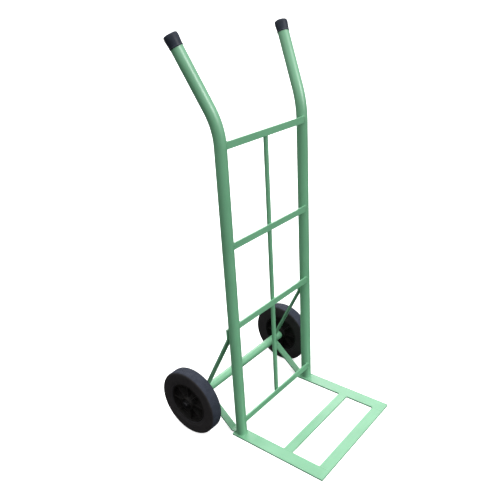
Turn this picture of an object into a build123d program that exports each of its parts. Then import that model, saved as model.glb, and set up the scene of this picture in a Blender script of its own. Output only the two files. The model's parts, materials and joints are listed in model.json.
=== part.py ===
from build123d import *
from math import cos, radians, sin, tan
import os

os.makedirs("parts", exist_ok=True)

# Millimetres. +Z is up and Z = 0 is the floor. The toe plate points along -Y. X = 0 is the middle of the truck,
# and Y = 0 is halfway between the front of the toe plate and the back of the wheels.

# side rails: bent round tube, one each side
rail_od = 31.75
rail_wall = 1.65
rail_x = 170.0
handle_bend_z = 910.0
handle_back_angle = 23.9
handle_flare_angle = 9.6
handle_bend_radius = 200.0
handle_mouth_length = 198.0

# rubber handle caps
cap_length = 32.0
cap_insert = 28.0
cap_mouth_od = 33.2
cap_end_od = 36.4
cap_edge_radius = 4.0
rail_end_clearance = 1.0

# flat crossbars welded between the rails, a little behind the front of the tubes
crossbar_height = 19.05
crossbar_thickness = 5.0
crossbar_front_reach = 14.4
crossbar_edge_radius = 0.6
crossbar_top_z = {"top": 877.5, "upper": 618.5, "lower": 385.5, "bottom": 66.0}

# centre bar behind the crossbars
center_bar_od = 12.7
center_bar_overlap = 11.0
center_bar_chamfer = 0.8

# toe plate made of flat bars
plate_thickness = 4.8
toe_bar_width = 38.1
toe_reach = 293.0
toe_rear_reach = 21.0
toe_front_bar_width = 33.0
toe_mid_bar_reach = 154.0
toe_mid_bar_width = 28.0
plate_corner_radius = 1.0

# axle line
axle_setback = 136.0
axle_z = 101.6
axle_rod_od = 15.875
axle_rod_chamfer = 1.0
axle_tube_od = 26.7
axle_tube_end_x = 205.0

# strap braces from the axle tube to the rail and to the toe plate
strap_width = 22.2
strap_thickness = 4.8
strap_bend_radius = 7.0
upper_bend_z = 329.0
upper_tab_top_z = 360.0
upper_axle_offset = 2.0
lower_slope_angle = 41.0
lower_axle_offset = -2.5
lower_tab_reach = 16.5

# wheels
wheel_x = 230.0
tyre_radius = 101.6
tyre_width = 39.0
tyre_shoulder = 6.5
tyre_bore = 63.5
hub_rim_inner = 59.5
hub_rim_width = 35.0
hub_web_thickness = 6.0
hub_rib_count = 8
hub_rib_thickness = 4.0
hub_rib_width = 27.0
hub_rib_bite = 1.0
hub_rib_start_angle = 0.0
hub_boss_od = 41.0
hub_groove_od = 33.0
hub_groove_id = 26.0
hub_groove_depth = 5.0
bushing_od = 22.0
running_clearance = 0.06

# stack of parts along the axle
washer_thickness = 2.0
washer_od = 28.0
washer_clearance = 0.3
end_gap = 0.3
rod_stand_out = 4.0
push_cap_od = 24.0
push_cap_flange = 1.2
push_cap_height = 6.0
push_cap_crown_od = 19.5
push_cap_edge_radius = 1.2

rail_r = rail_od / 2
rod_r = axle_rod_od / 2
rail_y = (toe_reach - axle_setback - tyre_radius) / 2
crossbar_front_y = rail_y - crossbar_front_reach
crossbar_back_y = crossbar_front_y + crossbar_thickness
axle_y = rail_y + axle_setback
toe_front_y = rail_y - toe_reach
toe_rear_y = rail_y + toe_rear_reach
toe_mid_bar_y = rail_y - toe_mid_bar_reach
hub_inner_x = axle_tube_end_x + washer_thickness + end_gap
hub_length = 2 * (wheel_x - hub_inner_x)
hub_outer_x = hub_inner_x + hub_length
washer_outer_x = hub_outer_x + end_gap
rod_end_x = washer_outer_x + washer_thickness + rod_stand_out
handle_dir = Vector(
    sin(radians(handle_flare_angle)),
    sin(radians(handle_back_angle)) * cos(radians(handle_flare_angle)),
    cos(radians(handle_back_angle)) * cos(radians(handle_flare_angle)),
)


def save(part, node):
    part.label = node
    export_step(part, f"parts/{node}.step")


def sided(side):
    return {"left": -1, "right": 1}[side]


def axle_plane(x, side):
    return Plane(origin=(sided(side) * x, axle_y, axle_z), x_dir=(0, 1, 0), z_dir=(sided(side), 0, 0))


def mouth_plane(side):
    s = sided(side)
    direction = Vector(s * handle_dir.X, handle_dir.Y, handle_dir.Z)
    point = Vector(s * rail_x, rail_y, handle_bend_z) + direction * handle_mouth_length
    return Plane(origin=point, z_dir=direction)


# side rails
for side in ("left", "right"):
    with BuildPart() as side_rail:
        end = mouth_plane(side).origin + mouth_plane(side).z_dir * (cap_insert - rail_end_clearance)
        with BuildLine() as rail_path:
            FilletPolyline(
                (sided(side) * rail_x, rail_y, plate_thickness),
                (sided(side) * rail_x, rail_y, handle_bend_z),
                end,
                radius=handle_bend_radius,
            )
        with BuildSketch(Plane.XY.offset(plate_thickness)):
            with Locations((sided(side) * rail_x, rail_y)):
                Circle(rail_r)
                Circle(rail_r - rail_wall, mode=Mode.SUBTRACT)
        sweep(path=rail_path.line)
    save(side_rail.part, f"side_rail_{side}")

# handle caps: hollow rubber tips pushed over the tube ends
for side in ("left", "right"):
    with BuildPart() as handle_cap:
        with BuildSketch(mouth_plane(side)):
            Circle(cap_mouth_od / 2)
        with BuildSketch(mouth_plane(side).offset(cap_length)):
            Circle(cap_end_od / 2)
        loft()
        fillet(handle_cap.faces().sort_by(Axis.Z)[-1].edges(), radius=cap_edge_radius)
        with BuildSketch(mouth_plane(side)):
            Circle(rail_r)
        extrude(amount=cap_insert, mode=Mode.SUBTRACT)
    save(handle_cap.part, f"handle_cap_{side}")

# crossbars, coped to the round rails at both ends
for level, top_z in crossbar_top_z.items():
    with BuildPart() as crossbar:
        with Locations((0, crossbar_front_y + crossbar_thickness / 2, top_z - crossbar_height / 2)):
            Box(2 * rail_x, crossbar_thickness, crossbar_height)
        fillet(crossbar.edges().filter_by(Axis.X), radius=crossbar_edge_radius)
        with Locations((-rail_x, rail_y, top_z), (rail_x, rail_y, top_z)):
            Cylinder(rail_r, 2 * crossbar_height, mode=Mode.SUBTRACT)
    save(crossbar.part, f"crossbar_{level}")

# centre bar, touching the back of all four crossbars
center_top_z = crossbar_top_z["top"] - crossbar_height + center_bar_overlap
center_bottom_z = crossbar_top_z["bottom"] - center_bar_overlap
with BuildPart() as center_bar:
    with Locations((0, crossbar_back_y + center_bar_od / 2, (center_top_z + center_bottom_z) / 2)):
        Cylinder(center_bar_od / 2, center_top_z - center_bottom_z)
    chamfer(center_bar.edges().filter_by(GeomType.CIRCLE), length=center_bar_chamfer)
save(center_bar.part, "center_bar")

# toe plate: two side bars, a front bar and a middle bar, flush with one another
for side in ("left", "right"):
    with BuildPart() as toe_side_bar:
        with Locations((sided(side) * rail_x, (toe_rear_y + toe_front_y) / 2, plate_thickness / 2)):
            Box(toe_bar_width, toe_rear_y - toe_front_y, plate_thickness)
        fillet(
            toe_side_bar.edges().filter_by(Axis.Z).group_by(Axis.X)[0 if side == "left" else -1],
            radius=plate_corner_radius,
        )
    save(toe_side_bar.part, f"toe_side_bar_{side}")

toe_gap = 2 * rail_x - toe_bar_width
toe_bars = (
    ("toe_front_bar", toe_front_y + toe_front_bar_width / 2, toe_front_bar_width),
    ("toe_mid_bar", toe_mid_bar_y, toe_mid_bar_width),
)
for node, bar_y, bar_width in toe_bars:
    with BuildPart() as toe_bar:
        with Locations((0, bar_y, plate_thickness / 2)):
            Box(toe_gap, bar_width, plate_thickness)
    save(toe_bar.part, node)

# axle tube and the solid axle inside it
with BuildPart() as axle_tube:
    with Locations(Location((0, axle_y, axle_z), (0, 90, 0))):
        Cylinder(axle_tube_od / 2, 2 * axle_tube_end_x)
        Cylinder(rod_r, 2 * axle_tube_end_x, mode=Mode.SUBTRACT)
save(axle_tube.part, "axle_tube")

with BuildPart() as axle_rod:
    with Locations(Location((0, axle_y, axle_z), (0, 90, 0))):
        Cylinder(rod_r, 2 * rod_end_x)
    chamfer(axle_rod.edges().filter_by(GeomType.CIRCLE), length=axle_rod_chamfer)
save(axle_rod.part, "axle_rod")

# upper braces: strap from the axle tube to a bent tab on the back of the rail
tab_y = rail_y + rail_r + strap_thickness / 2
for side in ("left", "right"):
    with BuildPart() as brace_upper:
        with BuildSketch(Plane.YZ.offset(sided(side) * rail_x - strap_width / 2)):
            with BuildLine():
                FilletPolyline(
                    (axle_y + upper_axle_offset, axle_z),
                    (tab_y, upper_bend_z),
                    (tab_y, upper_tab_top_z),
                    radius=strap_bend_radius,
                )
            trace(line_width=strap_thickness)
        extrude(amount=strap_width)
        with Locations(Location((sided(side) * rail_x, axle_y, axle_z), (0, 90, 0))):
            Cylinder(axle_tube_od / 2, 2 * strap_width, mode=Mode.SUBTRACT)
    save(brace_upper.part, f"brace_upper_{side}")

# lower braces: strap from the axle tube down to a bent tab on the toe plate
tab_z = plate_thickness + strap_thickness / 2
start_z = axle_z + lower_axle_offset / cos(radians(lower_slope_angle))
bend_y = axle_y - (start_z - tab_z) / tan(radians(lower_slope_angle))
for side in ("left", "right"):
    with BuildPart() as brace_lower:
        with BuildSketch(Plane.YZ.offset(sided(side) * rail_x - strap_width / 2)):
            with BuildLine():
                FilletPolyline(
                    (axle_y, start_z),
                    (bend_y, tab_z),
                    (rail_y + lower_tab_reach, tab_z),
                    radius=strap_bend_radius,
                )
            trace(line_width=strap_thickness)
        extrude(amount=strap_width)
        with Locations(Location((sided(side) * rail_x, axle_y, axle_z), (0, 90, 0))):
            Cylinder(axle_tube_od / 2, 2 * strap_width, mode=Mode.SUBTRACT)
    save(brace_lower.part, f"brace_lower_{side}")

# wheels: rubber tyre on a ribbed plastic hub with a pressed-in bushing
for side in ("left", "right"):
    mid_plane = axle_plane(wheel_x, side)
    profile_plane = Plane(origin=mid_plane.origin, x_dir=mid_plane.z_dir, z_dir=(0, -sided(side), 0))
    spin_axis = Axis(mid_plane.origin, mid_plane.z_dir)

    with BuildPart() as wheel_tyre:
        with BuildSketch(profile_plane) as tyre_section:
            with Locations((0, (tyre_radius + tyre_bore) / 2)):
                Rectangle(tyre_width, tyre_radius - tyre_bore)
            fillet(tyre_section.vertices().group_by(Axis.Y)[-1], radius=tyre_shoulder)
        revolve(axis=spin_axis)
    save(wheel_tyre.part, f"wheel_tyre_{side}")

    with BuildPart() as wheel_hub:
        with BuildSketch(profile_plane):
            with Locations((0, (tyre_bore + hub_rim_inner) / 2)):
                Rectangle(hub_rim_width, tyre_bore - hub_rim_inner)
            with Locations((0, (hub_rim_inner + bushing_od / 2) / 2)):
                Rectangle(hub_web_thickness, hub_rim_inner - bushing_od / 2)
            with Locations((0, (hub_boss_od + bushing_od) / 4)):
                Rectangle(hub_length, (hub_boss_od - bushing_od) / 2)
        revolve(axis=spin_axis)
        rib_length = hub_rim_inner - hub_boss_od / 2 + 2 * hub_rib_bite
        with Locations(mid_plane):
            with PolarLocations((hub_rim_inner + hub_boss_od / 2) / 2, hub_rib_count, hub_rib_start_angle):
                Box(rib_length, hub_rib_thickness, hub_rib_width)
        with BuildSketch(mid_plane.offset(hub_length / 2)):
            Circle(hub_groove_od / 2)
            Circle(hub_groove_id / 2, mode=Mode.SUBTRACT)
        extrude(amount=-hub_groove_depth, mode=Mode.SUBTRACT)
    save(wheel_hub.part, f"wheel_hub_{side}")

    with BuildPart() as hub_bushing:
        with BuildSketch(mid_plane.offset(-hub_length / 2)):
            Circle(bushing_od / 2)
            Circle(rod_r + running_clearance, mode=Mode.SUBTRACT)
        extrude(amount=hub_length)
    save(hub_bushing.part, f"hub_bushing_{side}")

    for place, washer_x in (("inner", axle_tube_end_x), ("outer", washer_outer_x)):
        with BuildPart() as washer:
            with BuildSketch(axle_plane(washer_x, side)):
                Circle(washer_od / 2)
                Circle(rod_r + washer_clearance, mode=Mode.SUBTRACT)
            extrude(amount=washer_thickness)
        save(washer.part, f"washer_{place}_{side}")

    with BuildPart() as push_cap:
        with BuildSketch(axle_plane(washer_outer_x + washer_thickness, side)):
            Circle(push_cap_od / 2)
        extrude(amount=push_cap_flange)
        with BuildSketch(axle_plane(washer_outer_x + washer_thickness, side)):
            Circle(push_cap_crown_od / 2)
        extrude(amount=push_cap_height)
        crown_edge = push_cap.edges().filter_by(GeomType.CIRCLE).group_by(Axis.X)[0 if side == "left" else -1]
        fillet(crown_edge, radius=push_cap_edge_radius)
        with BuildSketch(axle_plane(washer_outer_x + washer_thickness, side)):
            Circle(rod_r)
        extrude(amount=rod_stand_out, mode=Mode.SUBTRACT)
    save(push_cap.part, f"push_cap_{side}")
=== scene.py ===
import json
import random
from math import asin, cos, pi, radians, sin, sqrt

import bmesh
import bpy
from mathutils import Matrix, Vector


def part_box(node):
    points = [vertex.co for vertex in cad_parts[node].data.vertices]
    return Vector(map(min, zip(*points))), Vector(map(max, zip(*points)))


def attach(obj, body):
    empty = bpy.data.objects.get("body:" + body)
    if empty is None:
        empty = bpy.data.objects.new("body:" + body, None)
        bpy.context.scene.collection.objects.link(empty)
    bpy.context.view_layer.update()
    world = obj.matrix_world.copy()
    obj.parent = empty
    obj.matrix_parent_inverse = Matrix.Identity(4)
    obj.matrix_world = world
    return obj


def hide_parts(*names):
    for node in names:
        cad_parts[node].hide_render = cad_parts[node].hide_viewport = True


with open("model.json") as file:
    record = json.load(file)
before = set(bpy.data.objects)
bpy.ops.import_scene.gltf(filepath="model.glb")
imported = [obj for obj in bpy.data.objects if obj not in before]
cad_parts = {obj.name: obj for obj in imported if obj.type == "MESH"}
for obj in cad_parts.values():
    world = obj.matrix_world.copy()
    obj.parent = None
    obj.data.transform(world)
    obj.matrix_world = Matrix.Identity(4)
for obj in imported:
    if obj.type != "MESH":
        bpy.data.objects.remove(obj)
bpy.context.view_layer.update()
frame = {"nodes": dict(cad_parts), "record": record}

# Metres, in the frame of the CAD model: +Z up, the toe plate towards -Y, left is -X.

SIDES = {"left": -1, "right": 1}

RAIL_RADIUS = 0.015875
CENTER_BAR_RADIUS = 0.00635
AXLE_TUBE_RADIUS = 0.01335

HANDLE_BEND_HEIGHT = 0.910
HANDLE_BACK_ANGLE = radians(23.9)
HANDLE_FLARE_ANGLE = radians(9.6)
HANDLE_MOUTH_LENGTH = 0.198
CAP_LENGTH = 0.032
CAP_DEPTH = 0.028
CAP_MOUTH_RADIUS = 0.0166
CAP_END_RADIUS = 0.0182

STRAP_THICKNESS = 0.0048
UPPER_BEND_HEIGHT = 0.329
UPPER_AXLE_OFFSET = 0.002
LOWER_SLOPE = radians(41.0)
LOWER_AXLE_OFFSET = -0.0025
LOWER_FOOT_REACH = 0.0165

TYRE_RADIUS = 0.1016
TYRE_OPENING_RADIUS = 0.0635
TYRE_SHOULDER = 0.0065
HUB_INNER_RADIUS = 0.0595
HUB_RIM_WIDTH = 0.035
HUB_WEB_THICKNESS = 0.006
HUB_BOSS_RADIUS = 0.0205
HUB_GROOVE = (0.0130, 0.0165)
HUB_GROOVE_DEPTH = 0.005
HUB_BORE_RADIUS = 0.011
HUB_RIB_COUNT = 8
HUB_RIB_WIDTH = 0.027
HUB_OPEN_STEPS = 4
# The fillet at the foot of the boss and of the rim, as (distance from the wall, height above the web).
HUB_FILLET = ((0.0006, 0.0022), (0.0012, 0.0008), (0.0024, 0.0))
# The side of a rib, as (distance from the rib's middle, share of the rib's height).
HUB_RIB_SIDE = (
    (0.0, 1.0),
    (0.0013, 1.0),
    (0.0017, 0.97),
    (0.0019, 0.90),
    (0.0024, 0.10),
    (0.0028, 0.03),
    (0.0036, 0.0),
)

# How thick each weld bead is, as a radius.
CROSSBAR_FRONT_BEAD = 0.0020
CROSSBAR_BACK_BEAD = 0.0024
CROSSBAR_TOP_BEAD = 0.0015
CENTER_BAR_BEAD = 0.0017
RAIL_FOOT_BEAD = 0.0022
PLATE_SEAM_BEAD = 0.0024
TAB_SIDE_BEAD = 0.0020
TAB_TOP_BEAD = 0.0022
STRAP_FOOT_BEAD = 0.0020
STRAP_AXLE_BEAD = 0.0023
BEAD_PITCH = 0.0005
BEAD_SCALLOP = 0.0019
BEAD_SIDES = 10

CAMERA_PLACE = (-1.1774, -0.8990, 1.2055)
CAMERA_YAW = radians(50.932)
CAMERA_PITCH = radians(-24.827)
CAMERA_ROLL = radians(-2.853)
CAMERA_LENS = 42.28
CAMERA_SHIFT = (-0.0237, 0.0150)
CAMERA_REACH = 200.0

# The floor and the backdrop that it rises into, as (radius, height) of each ring.
BACKDROP_RINGS = ((10.0, 0.0), (28.0, 1.0), (46.0, 6.0), (58.0, 18.0), (65.0, 42.0), (67.0, 74.0))


def middle(node):
    low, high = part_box(node)
    return (low + high) / 2


plate_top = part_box("toe_side_bar_left")[1].z
plate_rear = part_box("toe_side_bar_left")[1].y
plate_inner_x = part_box("toe_side_bar_right")[0].x
rail_x = middle("toe_side_bar_right").x
rail_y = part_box("side_rail_left")[0].y + RAIL_RADIUS
crossbar_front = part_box("crossbar_top")[0].y
crossbar_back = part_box("crossbar_top")[1].y
strap_half = middle("brace_upper_right").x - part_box("brace_upper_right")[0].x
axle = middle("axle_tube")
hub_half = (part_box("wheel_hub_right")[1].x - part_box("wheel_hub_right")[0].x) / 2
tyre_half = (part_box("wheel_tyre_right")[1].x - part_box("wheel_tyre_right")[0].x) / 2


# ---------------------------------------------------------------- mesh helpers


def add_piece(name, mesh, material, body):
    """Links a mesh as a piece of the truck that rides on a body."""
    mesh.name = name
    piece = bpy.data.objects.new(name, mesh)
    bpy.context.scene.collection.objects.link(piece)
    mesh.materials.append(material)
    for polygon in mesh.polygons:
        polygon.use_smooth = True
    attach(piece, body)
    return piece


def grids_mesh(grids):
    """A mesh of grids. A grid is (rings, wrapped), and its rings are closed and have equally many points."""
    shape = bmesh.new()
    for rings, wrapped in grids:
        rows = [[shape.verts.new(point) for point in ring] for ring in rings]
        pairs = list(zip(rows, rows[1:]))
        if wrapped:
            pairs.append((rows[-1], rows[0]))
        for row, following in pairs:
            for i in range(len(row)):
                j = (i + 1) % len(row)
                shape.faces.new((row[i], row[j], following[j], following[i]))
        if not wrapped:
            shape.faces.new(reversed(rows[0]))
            shape.faces.new(rows[-1])
    bmesh.ops.recalc_face_normals(shape, faces=shape.faces)
    mesh = bpy.data.meshes.new("grids")
    shape.to_mesh(mesh)
    shape.free()
    return mesh


def wheel_place(side):
    """A matrix that takes local +Z outwards along the axle line, at the middle of the wheel."""
    centre = middle(f"wheel_tyre_{side}")
    turn = Vector((0, 0, 1)).rotation_difference(Vector((SIDES[side], 0, 0)))
    return Matrix.Translation(centre) @ turn.to_matrix().to_4x4()


def rounded(corners, steps=6):
    """An outline with soft corners. A corner is (along, radius, size of the rounding)."""
    outline = []
    for i, (along, radius, size) in enumerate(corners):
        here = Vector((along, radius))
        if size == 0:
            outline.append(here)
            continue
        before = Vector(corners[i - 1][:2]) - here
        after = Vector(corners[(i + 1) % len(corners)][:2]) - here
        start = here + before.normalized() * size
        end = here + after.normalized() * size
        for k in range(steps + 1):
            t = k / steps
            outline.append(start.lerp(here, t).lerp(here.lerp(end, t), t))
    return outline


def revolve(outline, place, steps, wrapped):
    """Turns an outline of (along, radius) points around the local Z axis of a matrix."""
    rings = []
    for along, radius in outline:
        ring = []
        for k in range(steps):
            angle = 2 * pi * k / steps
            ring.append(place @ Vector((radius * cos(angle), radius * sin(angle), along)))
        rings.append(ring)
    return grids_mesh([(rings, wrapped)])


# ---------------------------------------------------------------- weld beads


def walk(points, looped):
    """Evenly spaced places along a run of points, each with its direction."""
    points = [Vector(point) for point in points]
    if looped:
        points.append(points[0])
    places = []
    for start, end in zip(points, points[1:]):
        count = max(1, round((end - start).length / BEAD_PITCH))
        for k in range(count):
            places.append((start.lerp(end, k / count), (end - start).normalized()))
    if not looped:
        places.append((points[-1], (points[-1] - points[-2]).normalized()))
    return places


lumps = random.Random(8)


def bead(points, radius, outward, flatness=1.0, looped=False):
    """One rippled weld bead: a lumpy tube of even scallops, drawn in at its ends."""
    places = walk(points, looped)
    count = len(places)
    lift = Vector(outward).normalized()
    swell, drift = 1.0, 0.0
    rings = []
    for k, (place, along) in enumerate(places):
        across = along.cross(lift).normalized()
        if k % 4 == 0:
            swell = 0.7 * swell + 0.3 * (1 + lumps.uniform(-0.16, 0.16))
            drift = 0.7 * drift + 0.3 * lumps.uniform(-0.5, 0.5)
        size = radius * swell * (1 - 0.13 * abs(sin(pi * k * BEAD_PITCH / BEAD_SCALLOP)))
        if not looped:
            from_end = min(k, count - 1 - k) * BEAD_PITCH
            size *= sqrt(min(1.0, 0.12 + from_end / radius))
        centre = place + across * drift * radius * 0.3
        ring = []
        for i in range(BEAD_SIDES):
            angle = 2 * pi * i / BEAD_SIDES
            ring.append(centre + lift * size * flatness * cos(angle) + across * size * sin(angle))
        rings.append(ring)
    return rings, looped


def welds(name, beads):
    """Joins beads into one piece of the painted frame."""
    add_piece(f"weld_{name}", grids_mesh(beads), paint, "frame")


def tube_gap(y_reach):
    """How far a rail's surface is from its middle plane, at a distance in Y from its centre."""
    return sqrt(RAIL_RADIUS**2 - y_reach**2)


def crossbar_welds():
    """A bead on the front, back and top of each end of each crossbar, and the centre bar's own beads."""
    front_gap, back_gap = tube_gap(crossbar_front - rail_y), tube_gap(crossbar_back - rail_y)
    for level in ("top", "upper", "lower", "bottom"):
        low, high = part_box(f"crossbar_{level}")
        for side, s in SIDES.items():
            front_x, back_x = s * (rail_x - front_gap - 0.0006), s * (rail_x - back_gap - 0.0004)
            bottom, top = low.z + 0.001, high.z - 0.001
            front = [(front_x, crossbar_front, z) for z in (bottom, top)]
            back = [(back_x, crossbar_back, z) for z in (bottom, top)]
            over = [(front_x, crossbar_front, high.z), (back_x, crossbar_back, high.z)]
            welds(f"crossbar_{level}_{side}", [
                bead(front, CROSSBAR_FRONT_BEAD, (-s, -1, 0), flatness=0.8),
                bead(back, CROSSBAR_BACK_BEAD, (-s, 1, 0)),
                bead(over, CROSSBAR_TOP_BEAD, (0, 0, 1)),
            ])
        bar_low, bar_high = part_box("center_bar")
        bottom, top = max(low.z, bar_low.z) + 0.001, min(high.z, bar_high.z) - 0.001
        gap = 0.6 * CENTER_BAR_RADIUS
        welds(f"center_bar_{level}", [
            bead([(s * gap, crossbar_back, z) for z in (bottom, top)], CENTER_BAR_BEAD, (s, 1, 0))
            for s in SIDES.values()
        ])


def rail_foot_welds():
    """A ring of weld round the foot of each rail on the toe plate."""
    steps = 72
    turn = [2 * pi * k / steps for k in range(steps)]
    for side, s in SIDES.items():
        centre = Vector((s * rail_x, rail_y, plate_top))
        ring = [centre + RAIL_RADIUS * Vector((cos(angle), sin(angle), 0)) for angle in turn]
        welds(f"rail_foot_{side}", [bead(ring, RAIL_FOOT_BEAD, (0, 0, 1), flatness=0.9, looped=True)])


def toe_plate_welds():
    """Nearly flush seams where the front and middle bars meet the side bars."""
    for node in ("toe_front_bar", "toe_mid_bar"):
        low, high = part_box(node)
        for side, s in SIDES.items():
            x, z = s * plate_inner_x, plate_top - 0.0004
            seam = [(x, low.y + 0.0015, z), (x, high.y - 0.0015, z)]
            welds(f"{node}_{side}", [bead(seam, PLATE_SEAM_BEAD, (0, 0, 1), flatness=0.36)])


def meeting(direction, through):
    """Where a line in the side view meets the axle tube, on the side that its direction points to."""
    centre = Vector((axle.y, axle.z))
    start = through - centre
    nearest = start - direction * start.dot(direction)
    return centre + nearest + direction * sqrt(AXLE_TUBE_RADIUS**2 - nearest.length_squared)


def tab_welds(side):
    """Beads along both edges and the top of the tab of an upper strap, on the back of its rail."""
    x = SIDES[side] * rail_x
    seam_y = rail_y + RAIL_RADIUS - 0.0005
    half_gap = tube_gap(RAIL_RADIUS - 0.0010)
    low, high = UPPER_BEND_HEIGHT + 0.004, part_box(f"brace_upper_{side}")[1].z
    beads = [
        bead([(x + k * half_gap, seam_y, z) for z in (low, high)], TAB_SIDE_BEAD, (k, 0, 0)) for k in (-1, 1)
    ]
    beads.append(bead([(x - 0.006, seam_y, high), (x + 0.006, seam_y, high)], TAB_TOP_BEAD, (0, 0, 1)))
    welds(f"brace_tab_{side}", beads)


def strap_foot_welds(side):
    """Beads along both edges of the foot of a lower strap, on the toe plate."""
    x = SIDES[side] * rail_x
    front, rear = rail_y + LOWER_FOOT_REACH + 0.001, plate_rear
    welds(f"brace_foot_{side}", [
        bead([(x + k * strap_half, y, plate_top) for y in (front, rear)], STRAP_FOOT_BEAD, (k, 0, 1))
        for k in (-1, 1)
    ])


def strap_axle_welds(side):
    """Beads across both faces of both straps, where they reach the axle tube."""
    x = SIDES[side] * rail_x
    tab_y = rail_y + RAIL_RADIUS + STRAP_THICKNESS / 2
    upper = Vector((tab_y - axle.y - UPPER_AXLE_OFFSET, UPPER_BEND_HEIGHT - axle.z)).normalized()
    lower = Vector((-cos(LOWER_SLOPE), -sin(LOWER_SLOPE)))
    upper_through = Vector((axle.y + UPPER_AXLE_OFFSET, axle.z))
    lower_through = Vector((axle.y, axle.z + LOWER_AXLE_OFFSET / cos(LOWER_SLOPE)))
    beads = []
    for direction, through in ((upper, upper_through), (lower, lower_through)):
        to_face = Vector((-direction.y, direction.x)) * STRAP_THICKNESS / 2
        for k in (-1, 1):
            y, z = meeting(direction, through + k * to_face)
            outward = (0, y - axle.y + k * to_face.x * 3, z - axle.z + k * to_face.y * 3)
            ends = [(x + end * (strap_half - 0.001), y, z) for end in (-1, 1)]
            beads.append(bead(ends, STRAP_AXLE_BEAD, outward))
    welds(f"brace_axle_{side}", beads)


# ---------------------------------------------------------------- wheels and caps


def tyre(side):
    """Solid rubber tyre: smooth tread with a parting line, rounded shoulders and a step round the hub."""
    edge, opening = tyre_half, TYRE_OPENING_RADIUS
    corners = [
        (0.0, TYRE_RADIUS, 0),
        (0.0006, TYRE_RADIUS - 0.0002, 0),
        (0.0010, TYRE_RADIUS - 0.0002, 0),
        (edge - 0.0002, TYRE_RADIUS - 0.0002, TYRE_SHOULDER),
        (edge, TYRE_RADIUS - 0.0140, 0.0030),
        (edge - 0.0003, opening + 0.0090, 0.0006),
        (edge - 0.0013, opening + 0.0080, 0.0006),
        (edge - 0.0014, opening + 0.0030, 0.0010),
        (edge - 0.0018, opening + 0.0010, 0.0008),
        (edge - 0.0030, opening, 0.0007),
    ]
    corners += [(-along, radius, size) for along, radius, size in reversed(corners[1:])]
    outline = rounded(corners)
    mesh = revolve(outline, wheel_place(side), steps=192, wrapped=True)
    piece = add_piece(f"tyre_{side}", mesh, rubber, f"wheel_{side}")
    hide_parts(f"wheel_tyre_{side}")


def hub_levels():
    """(radius, half width of the solid there, whether ribs stand on it), from the bore to the tyre."""
    web = HUB_WEB_THICKNESS / 2
    rim = HUB_RIM_WIDTH / 2
    groove_in, groove_out = HUB_GROOVE
    floor = hub_half - HUB_GROOVE_DEPTH
    levels = [
        (HUB_BORE_RADIUS, hub_half - 0.0006, False),
        (HUB_BORE_RADIUS + 0.0006, hub_half, False),
        (groove_in - 0.0003, hub_half, False),
        (groove_in, hub_half - 0.0003, False),
        (groove_in + 0.0002, floor, False),
        (groove_out - 0.0002, floor, False),
        (groove_out, hub_half - 0.0003, False),
        (groove_out + 0.0003, hub_half, False),
        (HUB_BOSS_RADIUS - 0.0012, hub_half, False),
        (HUB_BOSS_RADIUS - 0.0004, hub_half - 0.0003, False),
        (HUB_BOSS_RADIUS, hub_half - 0.0012, True),
    ]
    boss_fillet = [(HUB_BOSS_RADIUS + reach, web + rise, True) for reach, rise in HUB_FILLET]
    rim_fillet = [(HUB_INNER_RADIUS - reach, web + rise, True) for reach, rise in reversed(HUB_FILLET)]
    inner, outer = boss_fillet[-1][0], rim_fillet[0][0]
    levels += boss_fillet
    levels += [(inner + (outer - inner) * k / 6, web, True) for k in range(1, 6)]
    levels += rim_fillet
    levels += [
        (HUB_INNER_RADIUS, rim - 0.0010, True),
        (HUB_INNER_RADIUS + 0.0004, rim - 0.0002, False),
        (HUB_INNER_RADIUS + 0.0012, rim, False),
        (TYRE_OPENING_RADIUS - 0.0010, rim, False),
        (TYRE_OPENING_RADIUS - 0.0004, rim - 0.0005, False),
        (TYRE_OPENING_RADIUS, rim - 0.0014, False),
    ]
    return levels


def hub_columns(radius):
    """(angle, share of rib height) once round the hub, with columns that run along the ribs' sides."""
    sector = 2 * pi / HUB_RIB_COUNT
    half = [(asin(distance / radius), share) for distance, share in HUB_RIB_SIDE]
    last = half[-1][0]
    half += [(last + (sector / 2 - last) * k / HUB_OPEN_STEPS, 0.0) for k in range(1, HUB_OPEN_STEPS)]
    columns = []
    for rib in range(HUB_RIB_COUNT):
        middle_angle = rib * sector
        columns += [(middle_angle + angle, share) for angle, share in half]
        columns.append((middle_angle + sector / 2, 0.0))
        columns += [(middle_angle + sector - angle, share) for angle, share in reversed(half[1:])]
    return columns


def hub(side):
    """Moulded hub: a web with drafted, filleted ribs on both faces, a grooved boss and a lipped rim."""
    place = wheel_place(side)
    web = HUB_WEB_THICKNESS / 2
    rib_height = HUB_RIB_WIDTH / 2 - web
    faces = {1: [], -1: []}
    for radius, level, ribbed in hub_levels():
        for face in faces:
            ring = []
            for angle, share in hub_columns(radius):
                height = max(level, web + rib_height * share * ribbed)
                ring.append(place @ Vector((radius * cos(angle), radius * sin(angle), face * height)))
            faces[face].append(ring)
    rings = faces[1] + faces[-1][::-1]
    piece = add_piece(f"hub_{side}", grids_mesh([(rings, True)]), plastic, f"wheel_{side}")
    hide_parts(f"wheel_hub_{side}")


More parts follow.
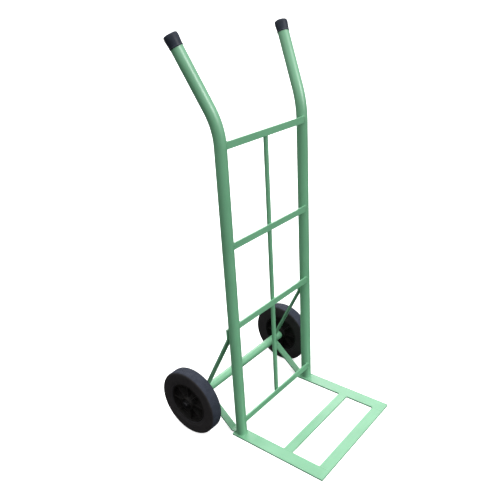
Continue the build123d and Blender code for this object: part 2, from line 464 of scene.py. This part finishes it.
def handle_cap(side):
    """Dipped vinyl cap: a rolled lip at its mouth, a slight swell and a soft domed end."""
    s = SIDES[side]
    direction = Vector((
        s * sin(HANDLE_FLARE_ANGLE),
        sin(HANDLE_BACK_ANGLE) * cos(HANDLE_FLARE_ANGLE),
        cos(HANDLE_BACK_ANGLE) * cos(HANDLE_FLARE_ANGLE),
    ))
    mouth = Vector((s * rail_x, rail_y, HANDLE_BEND_HEIGHT)) + direction * HANDLE_MOUTH_LENGTH
    turn = Vector((0, 0, 1)).rotation_difference(direction)
    place = Matrix.Translation(mouth) @ turn.to_matrix().to_4x4()
    socket = RAIL_RADIUS + 0.00005
    pole = 0.004
    outline = rounded([
        (CAP_DEPTH, pole, 0),
        (CAP_DEPTH, socket, 0.0010),
        (0.0002, socket, 0.0003),
        (0.0, CAP_MOUTH_RADIUS + 0.0004, 0.0006),
        (0.0026, CAP_MOUTH_RADIUS + 0.0006, 0.0006),
        (0.0036, CAP_MOUTH_RADIUS - 0.0001, 0.0005),
        (0.0150, CAP_MOUTH_RADIUS + 0.0009, 0.0040),
        (CAP_LENGTH - 0.0080, CAP_END_RADIUS, 0.0030),
        (CAP_LENGTH - 0.0008, CAP_END_RADIUS - 0.0010, 0.0032),
        (CAP_LENGTH, 0.0110, 0.0028),
        (CAP_LENGTH, pole, 0),
    ])
    mesh = revolve(outline, place, steps=96, wrapped=False)
    piece = add_piece(f"vinyl_cap_{side}", mesh, vinyl, "frame")
    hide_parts(f"handle_cap_{side}")


# ---------------------------------------------------------------- materials


class Finish:
    """A small builder for one procedural material on the object's own coordinates."""

    def __init__(self, name, roughness, specular=0.5, metallic=0.0):
        self.material = bpy.data.materials.new(name)
        self.material.use_nodes = True
        self.nodes = self.material.node_tree.nodes
        self.links = self.material.node_tree.links
        self.shader = self.nodes["Principled BSDF"]
        self.shader.inputs["Roughness"].default_value = roughness
        self.shader.inputs["Specular IOR Level"].default_value = specular
        self.shader.inputs["Metallic"].default_value = metallic
        self.place = self.nodes.new("ShaderNodeTexCoord").outputs["Object"]

    def noise(self, scale, detail=2.0, stretch=(1, 1, 1)):
        spread = self.nodes.new("ShaderNodeMapping")
        spread.inputs["Scale"].default_value = stretch
        self.links.new(self.place, spread.inputs["Vector"])
        texture = self.nodes.new("ShaderNodeTexNoise")
        texture.inputs["Scale"].default_value = scale
        texture.inputs["Detail"].default_value = detail
        self.links.new(spread.outputs["Vector"], texture.inputs["Vector"])
        return texture.outputs["Fac"]

    def span(self, value, low, high, out_low=0.0, out_high=1.0):
        node = self.nodes.new("ShaderNodeMapRange")
        node.inputs["From Min"].default_value = low
        node.inputs["From Max"].default_value = high
        node.inputs["To Min"].default_value = out_low
        node.inputs["To Max"].default_value = out_high
        self.links.new(value, node.inputs["Value"])
        return node.outputs["Result"]

    def calc(self, operation, a, b=0.0):
        node = self.nodes.new("ShaderNodeMath")
        node.operation = operation
        for socket, value in zip(node.inputs, (a, b)):
            if isinstance(value, (int, float)):
                socket.default_value = value
            else:
                self.links.new(value, socket)
        return node.outputs["Value"]

    def mix(self, factor, a, b):
        node = self.nodes.new("ShaderNodeMix")
        node.data_type = "RGBA"
        self.links.new(factor, node.inputs["Factor"])
        for socket, value in ((node.inputs["A"], a), (node.inputs["B"], b)):
            if isinstance(value, tuple):
                socket.default_value = (*value, 1.0)
            else:
                self.links.new(value, socket)
        return node.outputs["Result"]

    def edges(self, radius):
        """How sharp the surface is here: 0 on a flat, up to 1 on a convex edge."""
        bevel = self.nodes.new("ShaderNodeBevel")
        bevel.samples = 4
        bevel.inputs["Radius"].default_value = radius
        geometry = self.nodes.new("ShaderNodeNewGeometry")
        dot = self.nodes.new("ShaderNodeVectorMath")
        dot.operation = "DOT_PRODUCT"
        self.links.new(bevel.outputs["Normal"], dot.inputs[0])
        self.links.new(geometry.outputs["Normal"], dot.inputs[1])
        return self.span(dot.outputs["Value"], 0.99, 0.75)

    def sideways(self):
        """How squarely the surface faces along the axle: 1 on a wheel's flank, 0 on its tread."""
        split = self.nodes.new("ShaderNodeSeparateXYZ")
        self.links.new(self.nodes.new("ShaderNodeTexCoord").outputs["Normal"], split.inputs["Vector"])
        return self.calc("ABSOLUTE", split.outputs["X"])

    def knurl(self, pitch):
        """A fine diamond pattern wrapped round the tyres, from -1 to 1."""
        split = self.nodes.new("ShaderNodeSeparateXYZ")
        self.links.new(self.place, split.inputs["Vector"])
        rise = self.calc("SUBTRACT", split.outputs["Z"], axle.z)
        run = self.calc("SUBTRACT", split.outputs["Y"], axle.y)
        turns = round(2 * pi * TYRE_RADIUS / pitch)
        around = self.calc("MULTIPLY", self.calc("ARCTAN2", rise, run), turns)
        across = self.calc("MULTIPLY", split.outputs["X"], 2 * pi / pitch)
        rising = self.calc("SINE", self.calc("ADD", around, across))
        falling = self.calc("SINE", self.calc("SUBTRACT", around, across))
        return self.calc("MULTIPLY", rising, falling)

    def bump(self, height, distance, strength=1.0, normal=None):
        node = self.nodes.new("ShaderNodeBump")
        node.inputs["Distance"].default_value = distance
        node.inputs["Strength"].default_value = strength
        self.links.new(height, node.inputs["Height"])
        if normal is not None:
            self.links.new(normal, node.inputs["Normal"])
        self.links.new(node.outputs["Normal"], self.shader.inputs["Normal"])
        return node.outputs["Normal"]

    def colour(self, value):
        self.links.new(value, self.shader.inputs["Base Color"])

    def roughness(self, value):
        self.links.new(value, self.shader.inputs["Roughness"])


def powder_coat():
    """Satin green powder coat: soft gloss, cloudy thickness, orange peel, edges painted lighter (partly a
    thinner worn coat, partly a painted highlight) and a little dust.
    """
    finish = Finish("pastel_green_powder_coat", roughness=0.38, specular=0.8)
    finish.shader.inputs["Coat Weight"].default_value = 0.6
    finish.shader.inputs["Coat Roughness"].default_value = 0.32
    green, deep = (0.190, 0.49, 0.280), (0.160, 0.43, 0.240)
    thin_coat_and_edge_highlight, dust = (0.32, 0.62, 0.41), (0.36, 0.52, 0.40)
    clouds = finish.span(finish.noise(7.0, 3.0), 0.35, 0.70)
    colour = finish.mix(clouds, green, deep)
    # Edges are painted a lighter green: partly a thinner, worn coat and partly a painted highlight where
    # sharp edges would catch the light.
    edge_mask = finish.calc("MULTIPLY", finish.edges(0.0012), finish.span(finish.noise(160.0, 3.0), 0.42, 0.62))
    colour = finish.mix(finish.calc("MULTIPLY", edge_mask, 0.55), colour, thin_coat_and_edge_highlight)
    specks = finish.span(finish.noise(420.0, 2.0), 0.63, 0.72)
    colour = finish.mix(finish.calc("MULTIPLY", specks, 0.22), colour, dust)
    finish.colour(colour)
    finish.roughness(finish.span(finish.noise(38.0, 4.0), 0.3, 0.7, 0.34, 0.46))
    peel = finish.bump(finish.noise(380.0, 1.0), 0.00016, 0.55)
    finish.bump(finish.noise(1500.0, 2.0), 0.00004, 0.5, peel)
    return finish.material


def black_vinyl():
    """Dipped vinyl of the handle caps: blue-black and smooth, with a soft sheen and scuffed rims."""
    finish = Finish("black_vinyl", roughness=0.42, specular=0.2)
    clouds = finish.span(finish.noise(90.0, 3.0), 0.35, 0.7)
    dark, pale, scuffed = (0.024, 0.030, 0.044), (0.036, 0.044, 0.062), (0.07, 0.075, 0.095)
    colour = finish.mix(clouds, dark, pale)
    scuffs = finish.calc("MULTIPLY", finish.edges(0.0015), finish.span(finish.noise(300.0, 3.0), 0.45, 0.65))
    finish.colour(finish.mix(finish.calc("MULTIPLY", scuffs, 0.5), colour, scuffed))
    finish.roughness(finish.span(finish.noise(60.0, 3.0), 0.3, 0.7, 0.36, 0.50))
    finish.bump(finish.noise(700.0, 2.0), 0.00008, 0.5)
    return finish.material


def tyre_rubber():
    """Moulded solid rubber: matt and pebbled, with fine dust on the tread, and painted sky light: the tread
    is a lighter, bluer copy of the flank rubber.
    """
    finish = Finish("tyre_rubber", roughness=0.62, specular=0.12)
    clouds = finish.span(finish.noise(45.0, 4.0), 0.35, 0.7)
    wall = finish.mix(clouds, (0.026, 0.024, 0.025), (0.034, 0.032, 0.033))
    # Painted sky light: the tread colour is a lighter, bluer copy of the flank rubber, chosen by which way
    # the surface faces.
    tread = finish.mix(clouds, (0.027, 0.032, 0.047), (0.040, 0.046, 0.066))
    on_tread = finish.span(finish.sideways(), 0.85, 0.35)
    colour = finish.mix(on_tread, wall, tread)
    diamonds = finish.calc("MULTIPLY", finish.knurl(0.0022), on_tread)
    rubbed, grey = (0.062, 0.066, 0.095), (0.055, 0.056, 0.070)
    colour = finish.mix(finish.span(diamonds, 0.1, 0.8, 0.0, 0.35), colour, rubbed)
    dust = finish.span(finish.noise(260.0, 4.0), 0.52, 0.75)
    finish.colour(finish.mix(finish.calc("MULTIPLY", dust, 0.25), colour, grey))
    finish.roughness(finish.span(finish.noise(120.0, 3.0), 0.3, 0.7, 0.55, 0.72))
    moulded = finish.bump(diamonds, 0.00022, 0.7)
    coarse = finish.bump(finish.noise(520.0, 3.0), 0.00025, 0.6, moulded)
    finish.bump(finish.noise(1700.0, 2.0), 0.00008, 0.6, coarse)
    return finish.material


def hub_plastic():
    """Black moulded hub: faint flow marks and worn rib tops."""
    finish = Finish("hub_plastic", roughness=0.48, specular=0.15)
    clouds = finish.span(finish.noise(70.0, 4.0), 0.35, 0.7)
    dark, pale, worn = (0.008, 0.0075, 0.0072), (0.014, 0.013, 0.0125), (0.030, 0.028, 0.027)
    colour = finish.mix(clouds, dark, pale)
    edge_mask = finish.calc("MULTIPLY", finish.edges(0.001), finish.span(finish.noise(200.0, 3.0), 0.4, 0.6))
    finish.colour(finish.mix(finish.calc("MULTIPLY", edge_mask, 0.5), colour, worn))
    finish.roughness(finish.span(finish.noise(90.0, 3.0), 0.3, 0.7, 0.40, 0.56))
    finish.bump(finish.noise(600.0, 2.0), 0.0001, 0.4)
    return finish.material


def turned_steel(name, tint, roughness):
    """Bare or plated steel with turning marks along the axle line."""
    finish = Finish(name, roughness=roughness, metallic=1.0)
    dull = tuple(0.62 * value for value in tint)
    finish.colour(finish.mix(finish.span(finish.noise(240.0, 4.0), 0.4, 0.75), tint, dull))
    finish.roughness(finish.span(finish.noise(150.0, 3.0), 0.3, 0.7, roughness - 0.08, roughness + 0.10))
    finish.bump(finish.noise(900.0, 2.0, stretch=(6.0, 1.0, 1.0)), 0.00005, 0.5)
    return finish.material


def floor_paper():
    """Matt white studio paper."""
    finish = Finish("studio_paper", roughness=0.9, specular=0.1)
    finish.colour(finish.mix(finish.noise(3.0), (0.90, 0.90, 0.90), (0.93, 0.93, 0.93)))
    finish.shader.inputs["Emission Color"].default_value = (1.0, 1.0, 1.0, 1.0)
    finish.shader.inputs["Emission Strength"].default_value = 0.60
    return finish.material


paint = powder_coat()
vinyl = black_vinyl()
rubber = tyre_rubber()
plastic = hub_plastic()
bushing_steel = turned_steel("bushing_steel", (0.42, 0.42, 0.43), 0.35)
axle_steel = turned_steel("zinc_plate", (0.55, 0.56, 0.58), 0.38)
cap_steel = turned_steel("black_oxide", (0.05, 0.05, 0.055), 0.45)
SLOT_MATERIALS = {
    "frame_paint": paint,
    "cap_rubber": vinyl,
    "tyre": rubber,
    "hub_plastic": plastic,
    "bushing_steel": bushing_steel,
    "axle_steel": axle_steel,
    "push_cap_steel": cap_steel,
}


def finish_cad_nodes():
    """Gives each CAD node the material of its slot in the record."""
    for part in frame["record"]["subparts"]:
        node = frame["nodes"][part["node"]]
        for material_slot in node.material_slots:
            material_slot.material = SLOT_MATERIALS[part["material_slot"]]


# ---------------------------------------------------------------- studio


def photo_camera():
    """Stands in front and to the left of the truck, a little above its handles."""
    data = bpy.data.cameras.new("photo_camera")
    camera = bpy.data.objects.new("photo_camera", data)
    bpy.context.scene.collection.objects.link(camera)
    level = cos(CAMERA_PITCH)
    forward = Vector((sin(CAMERA_YAW) * level, cos(CAMERA_YAW) * level, sin(CAMERA_PITCH)))
    level_right = forward.cross(Vector((0, 0, 1))).normalized()
    level_up = level_right.cross(forward)
    right = level_right * cos(CAMERA_ROLL) + level_up * sin(CAMERA_ROLL)
    up = level_up * cos(CAMERA_ROLL) - level_right * sin(CAMERA_ROLL)
    turn = Matrix((right, up, -forward)).transposed().to_4x4()
    camera.matrix_world = Matrix.Translation(CAMERA_PLACE) @ turn
    data.sensor_width = 36.0
    data.lens = CAMERA_LENS
    data.shift_x, data.shift_y = CAMERA_SHIFT
    data.clip_end = CAMERA_REACH
    bpy.context.scene.camera = camera


def sun(name, towards, strength, spread):
    """A broad soft light that shines from the direction given."""
    data = bpy.data.lights.new(name, "SUN")
    data.energy = strength
    data.angle = radians(spread)
    light = bpy.data.objects.new(name, data)
    light.rotation_mode = "QUATERNION"
    light.rotation_quaternion = Vector(towards).to_track_quat("Z", "Y")
    bpy.context.scene.collection.objects.link(light)


def sky():
    """A white surround, dim below and bright overhead."""
    world = bpy.data.worlds.new("studio")
    bpy.context.scene.world = world
    world.use_nodes = True
    nodes, links = world.node_tree.nodes, world.node_tree.links
    split = nodes.new("ShaderNodeSeparateXYZ")
    links.new(nodes.new("ShaderNodeTexCoord").outputs["Generated"], split.inputs["Vector"])
    height = nodes.new("ShaderNodeMapRange")
    height.inputs["From Min"].default_value = -0.2
    height.inputs["From Max"].default_value = 0.6
    height.inputs["To Min"].default_value = 0.02
    height.inputs["To Max"].default_value = 1.00
    links.new(split.outputs["Z"], height.inputs["Value"])
    links.new(height.outputs["Result"], nodes["Background"].inputs["Strength"])
    nodes["Background"].inputs["Color"].default_value = (1.0, 1.0, 1.0, 1.0)


def backdrop():
    """A flat white floor that rises into a far wall, which lights nothing and shades nothing."""
    turn = [2 * pi * k / 96 for k in range(96)]
    shape = bmesh.new()
    rows = [
        [shape.verts.new((radius * cos(angle), radius * sin(angle), z)) for angle in turn]
        for radius, z in BACKDROP_RINGS
    ]
    shape.faces.new(rows[0])
    for row, following in zip(rows, rows[1:]):
        for i in range(len(row)):
            j = (i + 1) % len(row)
            shape.faces.new((row[i], following[i], following[j], row[j]))
    mesh = bpy.data.meshes.new("floor")
    shape.to_mesh(mesh)
    shape.free()
    mesh.materials.append(floor_paper())
    floor = bpy.data.objects.new("floor", mesh)
    bpy.context.scene.collection.objects.link(floor)
    floor.visible_diffuse = False
    floor.visible_glossy = False
    floor.visible_shadow = False


def studio():
    """Plain white studio with three soft lights."""
    bpy.context.scene.view_settings.view_transform = "Standard"
    sky()
    sun("key", (0.05, -0.05, 1.00), 1.1, 30)
    sun("front", (0.10, -0.90, 0.45), 1.35, 25)
    sun("behind", (0.70, 0.60, 0.38), 0.9, 35)
    backdrop()


finish_cad_nodes()
crossbar_welds()
rail_foot_welds()
toe_plate_welds()
for side in SIDES:
    tab_welds(side)
    strap_foot_welds(side)
    strap_axle_welds(side)
for side in SIDES:
    tyre(side)
    hub(side)
    handle_cap(side)
photo_camera()
studio()
